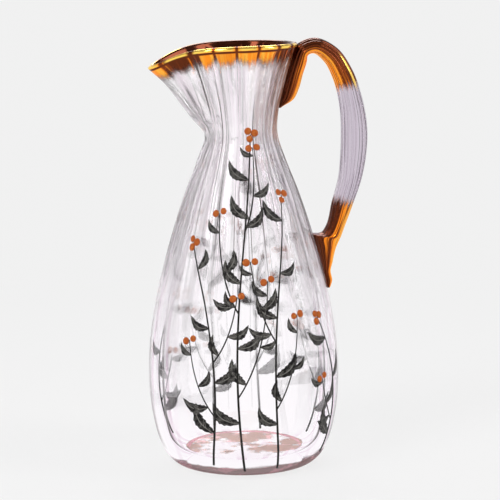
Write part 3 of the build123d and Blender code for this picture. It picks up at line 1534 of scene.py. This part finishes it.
    def build(self, finish: GiltGlass) -> bpy.types.Object:
        """Make the handle as one closed skin and dress it.

        Args:
            finish: The glass and its gold.

        Returns:
            The piece.
        """
        stations = np.array(self.run())
        line = np.hstack([smooth_line(side, self.steps)
                          for side in (stations[:, :2], stations[:, 2:])])
        first, last = self.rounded_end(line[0]), self.rounded_end(line[-1])
        rings = np.array(first[::-1] + [self.section(station) for station in line] + last)
        middles = rings.mean(axis=1)
        skin = Skin.over(middles[0], rings, middles[-1],
                         self.kept_values(middles, rings.shape[1]))
        piece = skin.put_in_scene("handle_glass", finish)
        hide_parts("handle")
        return piece


@dataclass(frozen=True)
class Twig:
    """One bowed stem on the glass. Its places are an angle in degrees and a height."""

    start: tuple[float, float]
    bend: tuple[float, float]
    tip: tuple[float, float]
    leaves: int
    berries: int
    thickness: float = 1.0

    def place(self, share: float) -> tuple[float, float]:
        """Where the stem runs.

        Args:
            share: 0 at its start and 1 at its tip.

        Returns:
            The angle in degrees and the height.
        """
        rest = 1 - share
        angle, height = (rest * rest * a + 2 * rest * share * b + share * share * c
                         for a, b, c in zip(self.start, self.bend, self.tip))
        return angle, height


@dataclass(frozen=True)
class Sprig:
    """One sprig that stands on the foot: a bowed main stem with side shoots in turn.

    Its angle, its lean and its reach are in degrees round the jug.
    """

    angle: float
    foot: float
    tip: float
    lean: float
    shoots: int
    reach: float
    leaves: int

    def twigs(self) -> list[Twig]:
        """The main stem and its side shoots.

        Returns:
            The twigs, the main stem first and then the shoots from the lowest up.
        """
        main = Twig((self.angle, self.foot),
                    (self.angle - self.lean * 0.8, between(self.foot, self.tip, 0.55)),
                    (self.angle + self.lean, self.tip), self.leaves, 3)
        twigs = [main]
        for index in range(self.shoots):
            angle, height = main.place(0.22 + 0.24 * index)
            side = 1 if (index % 2 == 0) == (self.lean > 0) else -1
            reach = side * self.reach * (1 - 0.15 * index)
            rise = (self.tip - self.foot) * (0.34 - 0.05 * index)
            twigs.append(Twig((angle, height), (angle + reach * 0.75, height + rise * 0.35),
                              (angle + reach, height + rise), 3, 2, 0.75))
        return twigs


@dataclass
class EnamelDesign:
    """A raised enamel design of plain berry sprigs that stand round the jug."""

    body: BlownBody
    sprigs: tuple[Sprig, ...]
    stem_radius: float = 0.66 * MM
    stem_flatness: float = 0.6
    leaf_length: float = 21.0 * MM
    leaf_width: float = 7.0 * MM
    leaf_teeth: int = 7
    leaf_edge: float = 0.05 * MM
    leaf_proud: float = 0.32 * MM
    leaf_sunk: float = 0.1 * MM
    berry_radius: float = 2.5 * MM
    berry_flatness: float = 0.55
    seed: int = 7

    def angle_beside(self, angle: float, height: float, over: float) -> float:
        """The angle of a point on the glass that lies so many metres over from another."""
        return angle + math.degrees(over / self.body.radius_at(height))

    def heading(self, twig: Twig, share: float) -> float:
        """The way that a stem runs on the glass.

        Args:
            twig: The stem.
            share: 0 at its start and 1 at its tip.

        Returns:
            The direction, in degrees from straight up.
        """
        low, high = twig.place(max(share - 0.02, 0.0)), twig.place(min(share + 0.02, 1.0))
        over = math.radians(high[0] - low[0]) * self.body.radius_at(low[1])
        return math.degrees(math.atan2(over, high[1] - low[1]))

    def stem(self, twig: Twig) -> Skin:
        """A thin raised stem that tapers to its tip.

        Args:
            twig: The stem's run.

        Returns:
            Its skin.
        """
        rings, sides = 60, 8
        points = []
        for share in np.linspace(0, 1, rings):
            angle, height = twig.place(share)
            radius = self.stem_radius * twig.thickness * (1.15 - 0.45 * share)
            for turn in np.arange(sides) * 2 * math.pi / sides:
                points.append(self.body.surface(
                    self.angle_beside(angle, height, radius * math.cos(turn)), height,
                    radius * math.sin(turn) * self.stem_flatness))
        first, last = (self.body.surface(*twig.place(share)) for share in (0.0, 1.0))
        return Skin.over(first, np.reshape(points, (rings, sides, 3)), last)

    def leaf(self, place: tuple[float, float], way: float, side: int, size: float) -> Skin:
        """One lance-shaped toothed leaf with a fold along its midrib.

        Args:
            place: The angle and height of its stalk end.
            way: The leaf's direction on the glass, in degrees from straight up.
            side: 1 for a leaf that bends one way, -1 for the other.
            size: Its size against the usual leaf.

        Returns:
            Its skin, which keeps each point's place across and along it.
        """
        rings, sides = 29, 12
        length, width = self.leaf_length * size, self.leaf_width * size
        turned = math.radians(way)
        points, across, along = [], [], []
        for share in np.linspace(0, 1, rings):
            tooth = 1.15 - 0.30 * (share * self.leaf_teeth % 1)
            half = width / 2 * math.sin(math.pi * share ** 0.8) ** 0.85 * tooth + self.leaf_edge
            sweep = 0.24 * length * math.sin(math.pi * share * 0.9) * side
            up = length * share
            for turn in (2 * math.pi * count / sides for count in range(sides)):
                offset, thick = math.cos(turn), math.sin(turn)
                dome = self.leaf_proud * (1 - 0.6 * math.exp(-(offset * 5) ** 2))
                proud = dome * thick if thick > 0 else self.leaf_sunk * thick
                beside = half * offset + sweep
                over = up * math.sin(turned) + beside * math.cos(turned)
                height = place[1] + (up * math.cos(turned) - beside * math.sin(turned))
                angle = self.angle_beside(place[0], height, over)
                points.append(self.body.surface(angle, height, proud))
                across.append(offset)
                along.append(share)
        first, last = (np.mean(end, axis=0) for end in (points[:sides], points[-sides:]))
        return Skin.over(first, np.reshape(points, (rings, sides, 3)), last, {
            "across": np.array([0.0, *across, 0.0]), "along": np.array([0.0, *along, 1.0])})

    def berry(self, angle: float, height: float, radius: float) -> Skin:
        """One low round berry.

        Args:
            angle: Its middle's angle in degrees.
            height: Its middle's height.
            radius: Its radius on the glass.

        Returns:
            Its skin.
        """
        rings, sides = 7, 14
        points = []
        for share in np.linspace(0.1, 0.9, rings):
            proud = math.cos(math.pi * share) * radius * self.berry_flatness
            ring = radius * math.sin(math.pi * share)
            for turn in np.arange(sides) * 2 * math.pi / sides:
                points.append(self.body.surface(
                    self.angle_beside(angle, height, ring * math.cos(turn)),
                    height + ring * math.sin(turn), -proud))
        first, last = (self.body.surface(angle, height, way * radius * self.berry_flatness)
                       for way in (-1, 1))
        return Skin.over(first, np.reshape(points, (rings, sides, 3)), last)

    def leaves_on(self, twig: Twig, draw: random.Random) -> list[Skin]:
        """Leaves along a stem, on its two sides in turn.

        Args:
            twig: The stem.
            draw: Where the random numbers come from.

        Returns:
            The leaves.
        """
        leaves = []
        for index in range(twig.leaves):
            share = 0.16 + 0.72 * (index + draw.uniform(-0.15, 0.15)) / max(twig.leaves - 1, 1)
            side = 1 if index % 2 else -1
            way = self.heading(twig, share) + side * draw.uniform(30, 55)
            size = draw.uniform(0.8, 1.15) * (1.1 - 0.4 * share) * twig.thickness
            leaves.append(self.leaf(twig.place(share), way, side, size))
        return leaves

    def berries_on(self, twig: Twig, draw: random.Random) -> list[Skin]:
        """A cluster of berries at the tip of a stem.

        Args:
            twig: The stem.
            draw: Where the random numbers come from.

        Returns:
            The berries.
        """
        berries = []
        angle, height = twig.place(1.0)
        ring = self.berry_radius * 1.1
        for index in range(twig.berries):
            turn = 2 * math.pi * index / twig.berries + draw.uniform(0, 0.5)
            radius = self.berry_radius * draw.uniform(0.8, 1.0)
            berries.append(self.berry(self.angle_beside(angle, height, ring * math.cos(turn)),
                                      height + ring * math.sin(turn), radius))
        return berries

    def build(self, stem_finish: Enamel, leaf_finish: Enamel,
              berry_finish: Enamel) -> list[bpy.types.Object]:
        """Make the stems, leaves and berries, and dress them.

        Args:
            stem_finish: The stems' enamel.
            leaf_finish: The leaves' enamel.
            berry_finish: The berries' enamel.

        Returns:
            The pieces.
        """
        draw = random.Random(self.seed)
        stems, leaves, berries = [], [], []
        for sprig in self.sprigs:
            for twig in sprig.twigs():
                stems.append(self.stem(twig))
                leaves += self.leaves_on(twig, draw)
                berries += self.berries_on(twig, draw)
        pieces = []
        for name, skins, finish in (("enamel_stems", stems, stem_finish),
                                    ("enamel_leaves", leaves, leaf_finish),
                                    ("enamel_berries", berries, berry_finish)):
            piece = Skin.joined(skins).put_in_scene(name, finish)
            pieces.append(piece)
        return pieces


def make_sprigs() -> tuple[Sprig, ...]:
    """Lay out the sprigs round the jug, tall and short ones in turn."""
    return (
        Sprig(60, 9 * MM, 148 * MM, -20, 2, 17, 4),
        Sprig(82, 5 * MM, 214 * MM, 15, 3, 21, 5),
        Sprig(106, 6 * MM, 176 * MM, 20, 2, 17, 5),
        Sprig(148, 10 * MM, 100 * MM, -12, 1, 15, 3),
        Sprig(210, 10 * MM, 130 * MM, 14, 1, 17, 3),
        Sprig(250, 8 * MM, 190 * MM, -15, 2, 17, 4),
        Sprig(285, 8 * MM, 150 * MM, 14, 1, 17, 4),
        Sprig(325, 12 * MM, 104 * MM, -12, 1, 15, 3),
    )


def write_sizes() -> None:
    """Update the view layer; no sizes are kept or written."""
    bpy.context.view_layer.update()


def main() -> None:
    """Build the room and then the pieces in order, and report each of them."""
    logging.basicConfig(level=logging.INFO, format="%(message)s")
    Studio().build()
    LOG.info("studio: backdrop, floor, lamps and camera")
    body = BlownBody()
    blown = GiltGlass("body_gilt_glass", Gilding.LIP, absorbs=(0.92, 0.80, 0.94), density=5.0,
                      striae=0.03 * MM, straight_share=0.42)
    drawn = GiltGlass("handle_gilt_glass", Gilding.HANDLE, absorbs=(0.60, 0.52, 0.62),
                      density=75.0, striae=0.01 * MM, straight_share=0.0)
    ink = Enamel("black_enamel", (0.012, 0.011, 0.010), (0.06, 0.055, 0.05))
    leaf_ink = Enamel("veined_black_enamel", (0.008, 0.007, 0.007), (0.26, 0.25, 0.23), True)
    orange = Enamel("orange_enamel", (0.36, 0.08, 0.015), (0.58, 0.22, 0.05))
    for piece in (body.build(blown), AppliedHandle(body).build(drawn),
                  *EnamelDesign(body, make_sprigs()).build(ink, leaf_ink, orange)):
        LOG.info("%s: %d faces", piece.name, len(piece.data.polygons))
    write_sizes()


if __name__ == "__main__":
    main()
